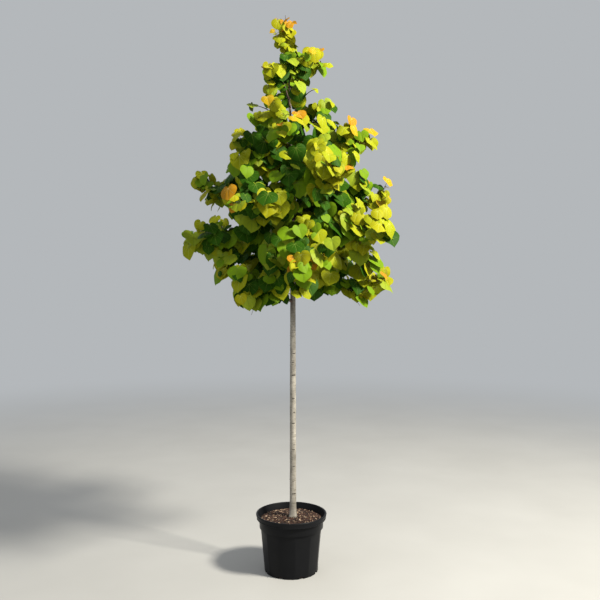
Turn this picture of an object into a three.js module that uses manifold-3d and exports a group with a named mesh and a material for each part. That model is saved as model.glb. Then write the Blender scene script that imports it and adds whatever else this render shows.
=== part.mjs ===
// An eastern redbud grown as a young standard: one clear stem that runs up through
// a cone of heart-shaped leaves to its leader, in a round black nursery pot.
// Millimetres, +Z up, the origin in the middle of the pot's flat underside, the front at -Y.
import * as THREE from "three";
import { mergeVertices } from "three/addons/utils/BufferGeometryUtils.js";
import Module from "manifold-3d";

const wasm = await Module();
wasm.setup();

// Driving dimensions of the pot
const potHeight = 320;
const rimRadius = 195;
const lipHeight = 30;
const collarHeight = 48;
const collarRadius = 177;
const wallTopRadius = 169;
const footRadius = 148;
const wallThickness = 4;
const floorThickness = 5;
const rimWidth = 8; // the rolled rim, across
const lipSlant = 5; // the lip is this much narrower at its foot
const edgeRound = 3;
const ledgeWidth = 3;
const potSides = 36;
const drainCount = 8;
const drainWidth = 24;
const drainHeight = 11;
const drainDepth = 26;

// Driving dimensions of the soil and the trunk
const soilHeight = 296; // where the stem is cut flat
const soilDrop = 9; // the mix is lower than that at the wall
const flatRadius = 60; // and level as far as this from the middle
const stemOffset = 9; // the stem stands this far right of the pot's middle
const stemDrift = 14; // and has moved this far left where the crown is half way up
const leaderBend = 26; // the young leader leans left by this much more
const leaderBendFrom = 2560;
const leaderVigour = 0.45;
const stemSway = 6;
const leaderTip = 2800;
const leaderShoot = 232; // the leader's last growth, above the trunk's tip
const stemRadius = 17.5;
const leaderRadius = 2.6;
const flareRadius = 25;
const flareHeight = 34;
const taperPower = 2.2;
const trunkSides = 12;
const trunkSteps = 18;
const stepGrowth = 1.5; // the trunk's steps are short at the flare and longer above

// Driving dimensions of the crown: the tips of the boughs lie on this outline
const widestReach = 560;
const widestHeight = 1850;
const undersideDepth = 620;
const crownFoot = 1425; // the lowest leaf tips
const shoulderHeight = 2050; // from here the crown narrows to its spire
const spireHeight = 2800;
const spireReach = 155;
// These boughs, by their number, reach this share of the outline.
const reachShares = new Map([
  ["01", 0.82],
  ["02", 1.05],
  ["10", 1.08],
  ["11", 1.12],
  ["14", 0.66],
  ["15", 0.93],
  ["16", 0.85],
  ["18", 0.85],
]);
const tipWander = 0.05; // a bough's reach differs from the outline by this share
const meanReach = 0.97;
const leafReach = 30; // the leaves reach this much further than their bough's line
const heartShare = 0.74; // where on its line a mass has its heart

// Driving dimensions of the boughs, which wind up the stem by the golden angle
const boughCount = 23;
const goldenAngle = 137.5;
const firstAzimuth = 222.5;
const lowestTip = 1545;
const highestTip = 2775;
const lowestRise = 60;
const highestRise = 190;
const boughBend = 0.42; // where along its reach a bough levels out
const thickestBough = 8.5;
const thinnestBough = 4.5;
const boughEndShare = 0.62; // a bough's radius where it enters its mass
const shortestBough = 0.2; // a bough's least share of the line to its tip
const azimuthWander = 6; // in degrees
const entryRoom = 4; // a bough ends this far inside its mass's space
const boughSides = 6;
const boughSteps = 2;
const stemSteps = 3;
const stemSides = 4;
const twigSides = 3;

// Driving dimensions of the twigs and leaves
const topVigour = 0.68; // the size of twigs and leaves at the top against the crown's foot
const twigSpacing = 74;
const longestTwig = 205;
const shortestTwig = 60;
const twigCut = 15; // a twig is cut back by this much at a time until it fits
const twigWander = 0.15;
const tipSize = 0.5; // the last twig or leaf of a shoot against its first
const twigTurn = 0.95; // in radians, from the stem's own way
const twigLift = 0.25;
const twigRadius = 2.9;
const twigEndRadius = 1.9;
const leafSpacing = 60;
const longestLeaf = 148;
const leafWander = 0.12;
const youngFrom = 0.45; // the share of a shoot from which its leaves are young
const faceWander = 0.9; // in radians
const frontPull = 0.5; // the leaves turn this much to the light in front
const petioleShare = 0.3; // of the leaf's length
const leafWidthShare = 0.96;
const shoulderShare = 0.28; // of the blade, from its base to where it is widest
const leafFold = 5; // a leaf's shoulders stand this far in front of its midrib
const thinnestLeaf = 2; // the least depth from a leaf's blade to the root of its stalk
const leafTurns = [0, 0.6, -0.6, 1.2, -1.2]; // tried in turn until a leaf has room
const leaderSeed = 99;
const massSeed = 100; // the first mass's, and the others' follow it

// Gaps
const gap = 0.3; // between two pieces that touch
const spaceMargin = 1.5; // from a mass to the edge of its space
const limbMargin = 3; // from a leaf or a twig to a limb

const up = new THREE.Vector3(0, 0, 1);
const front = new THREE.Vector3(0, -1, 0);
const limbSeam = new THREE.Vector3(0.31, 0.17, 0.93); // no limb runs this way

function paint(color, roughness) {
  return new THREE.MeshStandardMaterial({ color, roughness, metalness: 0 });
}

const potBlack = paint(0x1b1c1f, 0.55);
const barkMulch = paint(0x6b4530, 0.95);
const paleBark = paint(0x9a9184, 0.8);
const twigBark = paint(0x5a4638, 0.8);
const youngLeaf = paint(0xf0a81e, 0.5);
const goldLeaf = paint(0xc4d028, 0.5);
const greenLeaf = paint(0x4a8428, 0.5);

// Numbers and directions

function mix(from, to, share) {
  return from + (to - from) * share;
}

function clamp(value) {
  return Math.min(Math.max(value, 0), 1);
}

// A seeded series of numbers from 0 to 1, the same on every run.
function seededSeries(seed) {
  const modulus = 2147483647;
  let state = (seed * 7919 + 104729) % modulus;
  const next = () => {
    state = (state * 48271) % modulus;
    return state / modulus;
  };
  next();
  return next;
}

// A number from the series, from -size to size.
function either(series, size) {
  return (series() * 2 - 1) * size;
}

function heading(degrees) {
  const turn = THREE.MathUtils.degToRad(degrees);
  return new THREE.Vector3(Math.cos(turn), Math.sin(turn), 0);
}

// The sum of some directions, each with its share, at length 1.
function blend(...pairs) {
  const sum = new THREE.Vector3();
  pairs.forEach(([direction, share]) => sum.addScaledVector(direction, share));
  return sum.normalize();
}

// Closed meshes and solids

function geometryOf(corners, faces) {
  const places = corners.flatMap((corner) => [corner.x, corner.y, corner.z]);
  const geometry = new THREE.BufferGeometry();
  geometry.setAttribute("position", new THREE.Float32BufferAttribute(places, 3));
  geometry.setIndex(faces);
  return geometry;
}

function solidOf(geometry) {
  const bare = geometry.clone();
  bare.deleteAttribute("normal");
  bare.deleteAttribute("uv");
  const merged = mergeVertices(bare, 1e-3);
  return new wasm.Manifold(
    new wasm.Mesh({
      numProp: 3,
      vertProperties: merged.attributes.position.array,
      triVerts: new Uint32Array(merged.index.array),
    }),
  );
}

function meshOf(name, solid, material) {
  const { vertProperties, triVerts } = solid.getMesh();
  const geometry = new THREE.BufferGeometry();
  geometry.setAttribute("position", new THREE.BufferAttribute(vertProperties, 3));
  geometry.setIndex(new THREE.BufferAttribute(triVerts, 1));
  geometry.computeVertexNormals();
  const mesh = new THREE.Mesh(geometry, material);
  mesh.name = name;
  return mesh;
}

// The largest body of a fused solid, with loose scraps left out and sealed hollows filled.
function largestBody(solid) {
  return solid.decompose().reduce((best, body) => (body.volume() > best.volume() ? body : best));
}

// Whether each edge joins just two faces when corners at one place count as one.
function isSound(solid) {
  const { vertProperties, triVerts } = solid.getMesh();
  const places = Array.from(triVerts, (vert) => {
    const corner = vertProperties.slice(3 * vert, 3 * vert + 3);
    return Array.from(corner, (number) => number.toFixed(3)).join();
  });
  const uses = new Map();
  places.forEach((from, index) => {
    const to = places[index % 3 === 2 ? index - 2 : index + 1];
    const edge = from < to ? from + to : to + from;
    uses.set(edge, (uses.get(edge) ?? 0) + (from === to ? 0 : 1));
  });
  return [...uses.values()].every((count) => count === 2 || count === 0);
}

// Two solids as one, or null where that would close a ring or leave an unsound edge.
function joinedWith(solid, piece) {
  const joined = solid.add(piece);
  return joined.genus() === 0 && isSound(joined) ? joined : null;
}

// The rings of a limb along a stretch of a curve: where each is, the way it faces and its radius.
function ringsAlong(curve, [from, to], [thick, thin], steps) {
  return Array.from({ length: steps + 1 }, (_, step) => {
    const share = mix(from, to, step / steps);
    const radius = mix(thick, thin, step / steps);
    return { middle: curve.getPoint(share), way: curve.getTangent(share), radius };
  });
}

// A closed limb: the corners of its rings joined up, with a flat cap at both ends.
function limbSolid(rings, sides) {
  const corners = [];
  const faces = [];
  const across = limbSeam.clone();
  for (const { middle, way, radius } of rings) {
    across.projectOnPlane(way).normalize();
    const beside = new THREE.Vector3().crossVectors(way, across);
    for (let side = 0; side < sides; side++) {
      const turn = (side / sides) * 2 * Math.PI;
      const corner = middle.clone().addScaledVector(across, radius * Math.cos(turn));
      corners.push(corner.addScaledVector(beside, radius * Math.sin(turn)));
    }
  }
  for (let step = 0; step < rings.length - 1; step++) {
    for (let side = 0; side < sides; side++) {
      const here = step * sides + side;
      const next = step * sides + ((side + 1) % sides);
      faces.push(here, next, next + sides, here, next + sides, here + sides);
    }
  }
  const last = (rings.length - 1) * sides;
  for (let side = 1; side < sides - 1; side++) {
    faces.push(0, side + 1, side, last, last + side, last + side + 1);
  }
  return solidOf(geometryOf(corners, faces));
}

// The trunk

function trunkCentre(height) {
  const drift = stemDrift * THREE.MathUtils.smoothstep(height, lowestTip, leaderBendFrom);
  const bend = leaderBend * clamp((height - leaderBendFrom) / (leaderTip - leaderBendFrom)) ** 2;
  const sway = stemSway * Math.sin(((height - soilHeight) / (leaderTip - soilHeight)) * 2 * Math.PI);
  return new THREE.Vector3(stemOffset - drift - bend, sway, height);
}

function trunkRadius(height) {
  const climb = clamp((height - soilHeight) / (leaderTip - soilHeight));
  const flare = (flareRadius - stemRadius) * Math.exp((soilHeight - height) / flareHeight);
  return mix(stemRadius, leaderRadius, climb ** taperPower) + flare;
}

// The way the trunk grows at a height.
function trunkWay(height) {
  return trunkCentre(height + 1).sub(trunkCentre(height)).normalize();
}

// The trunk's rings, thicker by extra. The foot is cut level, and the steps are short at the flare.
function trunkRings(extra) {
  return Array.from({ length: trunkSteps + 1 }, (_, step) => {
    const height = mix(soilHeight + gap, leaderTip, (step / trunkSteps) ** stepGrowth);
    const way = step ? trunkWay(height) : up;
    return { middle: trunkCentre(height), way, radius: trunkRadius(height) + extra };
  });
}

// The crown's outline: how far a bough's tip may be from the trunk at a height.
function crownReach(height) {
  if (height < widestHeight) {
    return widestReach * Math.sqrt(1 - ((widestHeight - height) / undersideDepth) ** 2);
  }
  return mix(widestReach, spireReach, THREE.MathUtils.smoothstep(height, shoulderHeight, spireHeight));
}

// Each bough's whole line, from its foot on the trunk to the tip of its mass.
function boughLine(index) {
  const series = seededSeries(index + 1);
  const share = index / (boughCount - 1);
  const tipHeight = mix(lowestTip, highestTip, share);
  const rise = mix(lowestRise, highestRise, share);
  const outward = heading(firstAzimuth + index * goldenAngle + either(series, azimuthWander));
  const fullReach = crownReach(tipHeight) * (reachShares.get(twoDigits(index)) ?? 1);
  const reach = fullReach * (meanReach + either(series, tipWander)) - leafReach;
  const foot = trunkCentre(tipHeight - rise);
  const elbow = foot.clone().addScaledVector(outward, reach * boughBend);
  elbow.z += rise;
  const tip = trunkCentre(tipHeight).addScaledVector(outward, reach);
  return new THREE.QuadraticBezierCurve3(foot, elbow, tip);
}

function boughRadius(index) {
  return mix(thickestBough, thinnestBough, index / (boughCount - 1));
}

// The leader's own line goes on from the trunk's tip.
function leaderLine() {
  const foot = trunkCentre(leaderTip);
  const elbow = foot.clone().addScaledVector(trunkWay(leaderTip), leaderShoot * 0.6);
  const tip = elbow.clone().addScaledVector(up, leaderShoot * 0.4);
  return new THREE.QuadraticBezierCurve3(foot, elbow, tip);
}

// Each mass keeps to its own space: the points that are nearer to its heart than to any other's.
// Such a space is convex, so a piece with all its corners inside is inside as a whole.
function spaceOf(heart, hearts) {
  return hearts
    .filter((other) => other !== heart)
    .map((other) => {
      const normal = other.clone().sub(heart);
      const half = normal.length() / 2 - spaceMargin;
      normal.normalize();
      return { normal, limit: heart.dot(normal) + half };
    })
    .concat({ normal: up.clone().negate(), limit: -crownFoot });
}

function isInside(space, point, room = 0) {
  return space.every(({ normal, limit }) => point.dot(normal) <= limit - room);
}

// The share of a line from which it stays inside a space.
function entryShare(line, space) {
  let share = 1;
  while (share > shortestBough && isInside(space, line.getPoint(share - 0.01), entryRoom)) {
    share -= 0.01;
  }
  return share;
}

// A limb that leaves keep clear of, as short straight pieces with a radius.
function limbPieces(rings) {
  return rings.slice(1).map((ring, step) => ({
    line: new THREE.Line3(rings[step].middle, ring.middle),
    radius: Math.max(rings[step].radius, ring.radius),
  }));
}

function isClear(point, pieces) {
  const nearest = new THREE.Vector3();
  return pieces.every(({ line, radius }) => {
    line.closestPointToPoint(point, true, nearest);
    return nearest.distanceTo(point) >= radius + limbMargin;
  });
}

// The leaves of a shoot stand on alternate sides of it. Each hangs from its own stalk, with its
// blade's tip down and its face turned outwards, and the youngest, at the shoot's tip, is small.
function leavesOf({ line, from, seed }, vigour) {
  const series = seededSeries(seed);
  const length = line.getLength() * (1 - from);
  const count = Math.max(Math.round(length / (leafSpacing * vigour)), 2);
  const leaves = [];
  for (let index = 0; index < count; index++) {
    const share = mix(from, 1, (index + 0.8) / count) - 0.03;
    const youth = clamp((index + 1) / count - youngFrom) / (1 - youngFrom);
    const side = index % 2 ? 1 : -1;
    const root = line.getPoint(share);
    const ahead = line.getTangent(share);
    const beside = new THREE.Vector3().crossVectors(ahead, up).normalize();
    const outward = root.clone().sub(trunkCentre(root.z)).setZ(0).normalize();
    const facing = blend([outward, 1], [front, frontPull]).applyAxisAngle(up, either(series, faceWander));
    const size = longestLeaf * vigour * mix(1, tipSize, youth) * (1 + either(series, leafWander));
    const stalk = blend([beside, side * 0.8], [ahead, 0.35], [up, 0.1 + either(series, 0.3)]);
    const forward = 0.5 + either(series, 0.2);
    const blade = blend([facing, forward], [up, -0.8 + youth * 0.3], [beside, side * 0.3]);
    const face = blend([facing, 1], [up, 0.55 + either(series, 0.2)]);
    leaves.push({ root, stalk, blade, face: face.projectOnPlane(blade).normalize(), size });
  }
  return leaves;
}

// A leaf is folded along its midrib, so four corners make it a closed body: the root of its stalk,
// one shoulder, the tip, and the other shoulder. A turn swings the blade round the stalk's end.
function leafCorners({ root, stalk, blade, face, size }, turn) {
  const base = root.clone().addScaledVector(stalk, size * petioleShare);
  const hang = blade.clone().applyAxisAngle(up, turn);
  const outward = face.clone().applyAxisAngle(up, turn);
  const across = new THREE.Vector3().crossVectors(hang, outward);
  const half = (size * leafWidthShare) / 2;
  const middle = base.clone().addScaledVector(hang, size * shoulderShare);
  middle.addScaledVector(outward, leafFold);
  const left = middle.clone().addScaledVector(across, half);
  const right = middle.clone().addScaledVector(across, -half);
  const tip = base.clone().addScaledVector(hang, size);
  return [root, left, tip, right];
}

// How far a leaf's root is behind the plane of its shoulders and tip, or in front where negative.
function rootDepth([root, left, tip, right]) {
  const plane = new THREE.Plane().setFromCoplanarPoints(right, tip, left);
  return plane.distanceToPoint(root);
}

// The faces point out on whichever side of the blade the root is.
function leafSolid(corners) {
  const [root, left, tip, right] = corners;
  const ordered = rootDepth(corners) > 0 ? [root, left, tip, right] : [root, right, tip, left];
  return solidOf(geometryOf(ordered, [0, 1, 3, 2, 3, 1, 0, 2, 1, 0, 3, 2]));
}

// Points spread over a leaf's blade and stalk, to test it against the limbs.
function leafSamples([root, left, tip, right]) {
  const samples = [left, tip, right];
  for (const share of [0.2, 0.4, 0.6, 0.8]) {
    samples.push(left.clone().lerp(tip, share), right.clone().lerp(tip, share));
    samples.push(root.clone().lerp(left, share), root.clone().lerp(right, share));
    samples.push(left.clone().lerp(right, share));
  }
  return samples;
}

// The side shoots of a stem, on alternate sides, shorter towards its tip.
function sideShoots(stem, series, vigour) {
  const { line, from } = stem;
  const length = line.getLength() * (1 - from);
  const count = Math.max(Math.round(length / (twigSpacing * vigour)), 2);
  const shoots = [];
  for (let index = 0; index < count; index++) {
    const share = mix(from, 1, (index + 0.35) / count);
    const foot = line.getPoint(share);
    const ahead = line.getTangent(share);
    const beside = new THREE.Vector3().crossVectors(ahead, up).normalize();
    const above = new THREE.Vector3().crossVectors(beside, ahead);
    const around = THREE.MathUtils.degToRad(index * goldenAngle + either(series, 20));
    const aside = blend([beside, Math.cos(around)], [above, Math.sin(around)]);
    const way = blend([ahead, Math.cos(twigTurn)], [aside, Math.sin(twigTurn)], [up, twigLift]);
    const size = mix(1, tipSize, index / count) * (1 + either(series, twigWander));
    shoots.push({ foot, way, ahead, reach: longestTwig * vigour * size, seed: stem.seed + index + 1 });
  }
  return shoots;
}

// A side shoot's line sweeps forward a little, like its stem.
function shootLine({ foot, way, ahead, reach }) {
  const middle = foot.clone().addScaledVector(way, reach * 0.5);
  const tip = foot.clone().addScaledVector(way, reach * 0.9).addScaledVector(ahead, reach * 0.2);
  return new THREE.QuadraticBezierCurve3(foot, middle, tip);
}

// A side shoot cut back until it is inside its mass's space and clear of the limbs, or null.
function fittedShoot(shoot, space, limbs) {
  for (let reach = shoot.reach; reach > shortestTwig; reach -= twigCut) {
    const line = shootLine({ ...shoot, reach });
    const points = line.getPoints(8).slice(1);
    const fits = points.every((point) => isInside(space, point, twigRadius) && isClear(point, limbs));
    if (fits) return { line, from: 0, seed: shoot.seed };
  }
  return null;
}

// The solid with one more leaf, or null. A leaf has room where it is inside the mass's space, is
// clear of the limbs, and makes no ring with another leaf or twig.
function withLeaf(solid, leaf, space, limbs) {
  for (const turn of leafTurns) {
    const corners = leafCorners(leaf, turn);
    if (Math.abs(rootDepth(corners)) < thinnestLeaf) continue;
    if (!corners.every((corner) => isInside(space, corner))) continue;
    if (!leafSamples(corners).every((point) => isClear(point, limbs))) continue;
    const joined = joinedWith(solid, leafSolid(corners));
    if (joined) return joined;
  }
  return null;
}

// One mass of foliage: a stem that goes on from its bough, its side shoots and all their leaves.
function massSolid({ seed, line, from, radius, vigour, space, limbs }) {
  const stem = { line, from, seed: seed * 100 };
  const rings = ringsAlong(line, [from, 1], [radius, twigEndRadius], stemSteps);
  rings[0].middle.addScaledVector(rings[0].way, gap);
  let solid = limbSolid(rings, stemSides);
  const shoots = [stem];
  for (const shoot of sideShoots(stem, seededSeries(seed), vigour)) {
    const fitted = fittedShoot(shoot, space, limbs);
    if (!fitted) continue;
    const twig = limbSolid(ringsAlong(fitted.line, [0, 1], [twigRadius, twigEndRadius], 1), twigSides);
    const joined = joinedWith(solid, twig);
    if (!joined) continue;
    shoots.push(fitted);
    solid = joined;
  }
  for (const shoot of shoots) {
    for (const leaf of leavesOf(shoot, vigour)) {
      solid = withLeaf(solid, leaf, space, limbs) ?? solid;
    }
  }
  return largestBody(solid);
}

// The crown: boughs, the masses on them, and the mass on the leader

const group = new THREE.Group();

function twoDigits(index) {
  return String(index + 1).padStart(2, "0");
}

// Upper leaves and twigs are smaller.
function vigourAt(height) {
  return mix(1, topVigour, clamp((height - lowestTip) / (leaderTip - lowestTip)));
}

function leafPaint(index) {
  return index % 3 ? greenLeaf : goldLeaf;
}

function addCrown() {
  const lines = Array.from({ length: boughCount }, (_, index) => boughLine(index));
  const top = leaderLine();
  const hearts = lines.map((line) => line.getPoint(heartShare));
  const topHeart = top.getPoint(0.5);
  hearts.push(topHeart);
  const boughs = lines.map((line, index) => {
    const space = spaceOf(hearts[index], hearts);
    const end = entryShare(line, space);
    const radius = boughRadius(index);
    const rings = ringsAlong(line, [0, end], [radius, radius * boughEndShare], boughSteps);
    return { line, space, end, rings };
  });
  const boughPieces = boughs.flatMap(({ rings }) => limbPieces(rings));
  const limbs = boughPieces.concat(limbPieces(trunkRings(0)));

  const trunkRoom = limbSolid(trunkRings(gap), trunkSides);
  boughs.forEach(({ line, space, end, rings }, index) => {
    const solid = largestBody(limbSolid(rings, boughSides).subtract(trunkRoom));
    const name = twoDigits(index);
    group.add(meshOf(`bough_${name}`, solid, twigBark));
    const mass = massSolid({
      seed: massSeed + index,
      line,
      from: end,
      radius: rings[boughSteps].radius,
      vigour: vigourAt(line.getPoint(1).z),
      space,
      limbs,
    });
    group.add(meshOf(`foliage_${name}`, mass, leafPaint(index)));
  });
  const leader = massSolid({
    seed: leaderSeed,
    line: top,
    from: 0,
    radius: leaderRadius,
    vigour: leaderVigour,
    space: spaceOf(topHeart, hearts),
    limbs: boughPieces,
  });
  group.add(meshOf("foliage_leader", leader, youngLeaf));
  group.add(meshOf("trunk", limbSolid(trunkRings(0), trunkSides), paleBark));
}

// The pot: a tapered wall with a collar below a rolled lip, and drain notches round its foot

// A closed body of revolution about the upright axis, from [radius, height] pairs.
function turnedSolid(profile, sides) {
  const outline = profile.map(([radius, height]) => new THREE.Vector2(radius, height));
  const geometry = new THREE.LatheGeometry(outline, sides);
  geometry.rotateX(Math.PI / 2);
  return solidOf(geometry);
}

// The inside of the pot's wall at a height.
function wallInside(height) {
  const lipFoot = potHeight - lipHeight;
  const outside =
    height < lipFoot
      ? mix(footRadius, collarRadius, height / lipFoot)
      : mix(collarRadius, rimRadius - rimWidth, (height - lipFoot) / lipHeight);
  return outside - wallThickness;
}

function potSolid() {
  const lipFoot = potHeight - lipHeight;
  const collarFoot = lipFoot - collarHeight;
  const profile = [
    [0, 0],
    [footRadius - edgeRound, 0],
    [footRadius, edgeRound],
    [wallTopRadius, collarFoot],
    [wallTopRadius + ledgeWidth, collarFoot + ledgeWidth],
    [collarRadius, lipFoot],
    [rimRadius - lipSlant, lipFoot + 1],
    [rimRadius, potHeight - rimWidth],
    [rimRadius, potHeight - edgeRound],
    [rimRadius - edgeRound, potHeight],
    [rimRadius - rimWidth, potHeight],
    [wallInside(lipFoot), lipFoot],
    [wallInside(floorThickness), floorThickness],
    [0, floorThickness],
  ];
  let solid = turnedSolid(profile, potSides);
  for (let index = 0; index < drainCount; index++) {
    const notch = new THREE.BoxGeometry(drainDepth, drainWidth, 2 * drainHeight);
    notch.translate(footRadius, 0, 0);
    notch.rotateZ(((index + 0.5) / drainCount) * 2 * Math.PI);
    solid = solid.subtract(solidOf(notch));
  }
  return solid;
}

// The potting mix fills the pot, a little higher round the stem, where its top is flat.
function mixSolid() {
  const edgeHeight = soilHeight - soilDrop;
  const profile = [
    [0, floorThickness + gap],
    [wallInside(floorThickness) - gap, floorThickness + gap],
    [wallInside(edgeHeight) - gap, edgeHeight],
    [mix(flatRadius, rimRadius, 0.5), soilHeight - soilDrop * 0.4],
    [flatRadius, soilHeight],
    [0, soilHeight],
  ];
  return turnedSolid(profile, potSides);
}

addCrown();
group.add(meshOf("pot", potSolid(), potBlack));
group.add(meshOf("potting_mix", mixSolid(), barkMulch));

export default group;
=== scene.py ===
# A young eastern redbud grown as a standard, in a round black nursery pot.
# Metres, +Z up, the origin in the middle of the pot's flat underside, the front at -Y.
import math

import bmesh
import bpy
import numpy as np
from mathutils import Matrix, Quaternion, Vector, noise


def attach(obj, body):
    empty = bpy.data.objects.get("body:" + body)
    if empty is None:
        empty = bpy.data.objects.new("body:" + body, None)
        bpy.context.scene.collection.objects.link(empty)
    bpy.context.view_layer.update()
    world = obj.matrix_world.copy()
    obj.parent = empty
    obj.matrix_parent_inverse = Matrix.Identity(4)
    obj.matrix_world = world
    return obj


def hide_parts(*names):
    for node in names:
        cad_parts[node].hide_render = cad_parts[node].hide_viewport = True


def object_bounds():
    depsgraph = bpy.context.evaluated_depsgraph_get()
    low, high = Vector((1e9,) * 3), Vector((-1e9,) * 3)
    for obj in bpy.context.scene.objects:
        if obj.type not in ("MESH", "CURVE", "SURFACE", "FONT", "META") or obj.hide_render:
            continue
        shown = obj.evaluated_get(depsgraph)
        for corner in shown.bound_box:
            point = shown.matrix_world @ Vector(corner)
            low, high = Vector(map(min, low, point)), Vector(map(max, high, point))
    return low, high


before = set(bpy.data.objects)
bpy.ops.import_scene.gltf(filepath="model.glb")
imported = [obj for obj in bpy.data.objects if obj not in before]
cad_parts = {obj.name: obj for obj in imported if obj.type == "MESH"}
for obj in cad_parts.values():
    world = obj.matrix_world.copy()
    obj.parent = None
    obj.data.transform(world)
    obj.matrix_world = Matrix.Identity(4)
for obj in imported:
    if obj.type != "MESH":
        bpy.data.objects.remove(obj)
cad_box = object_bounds()

UP = Vector((0, 0, 1))
FRONT = Vector((0, -1, 0))

# Pot, as in the frame
POT_HEIGHT = 0.320
RIM_RADIUS = 0.195
LIP_HEIGHT = 0.030
COLLAR_HEIGHT = 0.048
COLLAR_RADIUS = 0.177
WALL_TOP_RADIUS = 0.169
FOOT_RADIUS = 0.148
WALL_THICKNESS = 0.004
FLOOR_THICKNESS = 0.005
LIP_SLANT = 0.005
LIP_FOOT = POT_HEIGHT - LIP_HEIGHT
COLLAR_FOOT = LIP_FOOT - COLLAR_HEIGHT
DRAIN_COUNT = 8
DRAIN_WIDTH = 0.024
DRAIN_HEIGHT = 0.011
DRAIN_DEPTH = 0.026

# Finer detail of the pot
POT_SECTORS = 240
FOOT_ROWS = 5  # of the profile, up to the foot of the wall
WALL_ROWS = 8
FOOT_BEVEL = 0.004
LIP_ROUNDING = 0.0055
LIP_STEPS = 8
SHARP_EDGE = math.radians(40)
FLAT_COUNT = 12  # shallow upright flats round the body
FLAT_TURN = math.radians(8.4)  # of the flats' edges
FLAT_DEPTH = 0.0034
FLAT_FOOT = (0.002, 0.02)  # the heights between which the flats begin
FLAT_FADE = 0.012  # they end over this height below the collar

# Potting mix and trunk, as in the frame
SOIL_HEIGHT = 0.296
SOIL_DROP = 0.009
STEM_OFFSET = 0.009
STEM_DRIFT = 0.014
LEADER_BEND = 0.026
LEADER_BEND_FROM = 2.560
LEADER_VIGOUR = 0.45
STEM_SWAY = 0.006
LEADER_TIP = 2.800
LEADER_SHOOT = 0.232
STEM_RADIUS = 0.0175
LEADER_RADIUS = 0.0026
FLARE_RADIUS = 0.025
FLARE_HEIGHT = 0.034
TAPER_POWER = 2.2

# Crown, as in the frame
WIDEST_REACH = 0.560
WIDEST_HEIGHT = 1.850
UNDERSIDE_DEPTH = 0.620
CROWN_FOOT = 1.425  # the lowest leaf tips
SHOULDER_HEIGHT = 2.050
SPIRE_HEIGHT = 2.800
SPIRE_REACH = 0.155
# These boughs, by number, reach this share of the outline.
REACH_SHARES = {1: 0.82, 2: 1.05, 10: 1.08, 11: 1.12, 14: 0.66, 15: 0.93, 16: 0.85, 18: 0.85}
TIP_WANDER = 0.05
MEAN_REACH = 0.97
LEAF_REACH = 0.030
BOUGH_COUNT = 23
GOLDEN_ANGLE = 137.5
FIRST_AZIMUTH = 222.5
AZIMUTH_WANDER = 6
LOWEST_TIP = 1.545
HIGHEST_TIP = 2.775
LOWEST_RISE = 0.060
HIGHEST_RISE = 0.190
BOUGH_BEND = 0.42
THICKEST_BOUGH = 0.0085
THINNEST_BOUGH = 0.0045
TOP_VIGOUR = 0.68
TWIG_SPACING = 0.074
LONGEST_TWIG = 0.205
TWIG_WANDER = 0.15
TWIG_AROUND_WANDER = 20  # in degrees
TWIG_TURN = 0.95
TWIG_LIFT = 0.25
FIRST_TWIG = 0.35  # of a twig's spacing, before the first one
TIP_SIZE = 0.5
LEADER_SEED = 99
MASS_SEED = 100
SEED_STEP = 100  # from one stem's seed to the next one's, with its twigs' between

# Twigs, the short spurs on them, and the spurs on the trunk
BOUGH_TIP_RADIUS = 0.0013
TWIG_RADIUS = 0.0021
TWIG_TIP_RADIUS = 0.0009
SPUR_RADIUS_SHARE = 0.75
SPUR_SHARE = 0.5  # a spur's length against its twig's
SPUR_WANDER = 0.25
SPUR_TURN = 0.85
SPUR_AROUND_WANDER = 60  # in degrees
SPUR_GROWTH = 0.3
# How many spurs a twig has below each height
SPUR_COUNTS = ((2.35, 3), (2.78, 2), (9, 0))
TRUNK_SPUR_SEED = 6
FIRST_TRUNK_SPUR = 900
TRUNK_SPUR_LIMIT = 2.35
TRUNK_SPUR_SPACING = 0.02
SPACING_WANDER = 0.3
TRUNK_SPUR_LENGTH = 0.13
LENGTH_WANDER = 0.4
# The share of a shoot before its first leaf
STEM_START = 0.2
TWIG_START = 0.12
SPUR_START = 0.2
TRUNK_SPUR_START = 0.5

# Leaves
LEAF_SPACING = 0.022
LEAST_SPACING = 0.35  # of the full one, for a shoot without vigour
LEAF_SETBACK = 0.02
LAST_LEAF = 0.88  # leaves further along a shoot stay in the openings too
LONGEST_BLADE = 0.093
SIZE_POWER = 0.6  # how much smaller the leaves of a weaker shoot are
SIZE_WANDER = 0.55
SIZE_SKEW = 0.8
YOUNG_BLADE = 0.5  # the last leaf of a shoot against a full one
YOUNG_FROM = 0.64  # the share of a shoot from which its leaves are young
YOUNG_DEPTH = (0.5, 0.9)  # how far out in the crown the shoots with young leaves end
PETIOLE_SHARE = 0.45
PETIOLE_RADIUS = 0.0009
PETIOLE_ASIDE = 0.8
PETIOLE_AHEAD = 0.45
FRONT_PULL = 3.0
PULL_RANGE = (-1.0, 0.1)
SUNNY_FRONT = Vector((0.15, -0.99, 0))
FACING_WANDER = 0.8
HANG_DOWN = 0.85
HANG_ASIDE = 0.25
YOUNG_LIFT = 0.8
OLD_FOLD = 0.08
YOUNG_FOLD = 0.42
FOLD_WANDER = 0.12
# The middle of what differs from leaf to leaf, and by how much it differs
PETIOLE_RISE = (0.2, 0.3)
HANG_OUT = (0.45, 0.45)
FACE_UP = (0.5, 0.3)
DROOP = (-0.12, 0.16)
CURL = (-0.16, 0.2)
# The least height of the waves along an edge, and what chance adds
WAVE = (0.018, 0.03)

# A blade of length 1
VEIN_STEP = 37.5  # in degrees, between veins
SIDE_VEINS = 3
SIDE_VEIN_SHARE = 0.75
HALF_RAYS = 9
TIP_RAY = math.radians(6)
BLADE_RINGS = (0.34, 0.7, 1.0)
VEIN_RELIEF = 0.022
VEIN_STRENGTH = 0.013  # half a vein's width where it starts
VEIN_TAPER = 0.8
VEIN_LIFT = 0.005
VEIN_SHARES = (0, 0.34, 0.7, 0.95)

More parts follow.
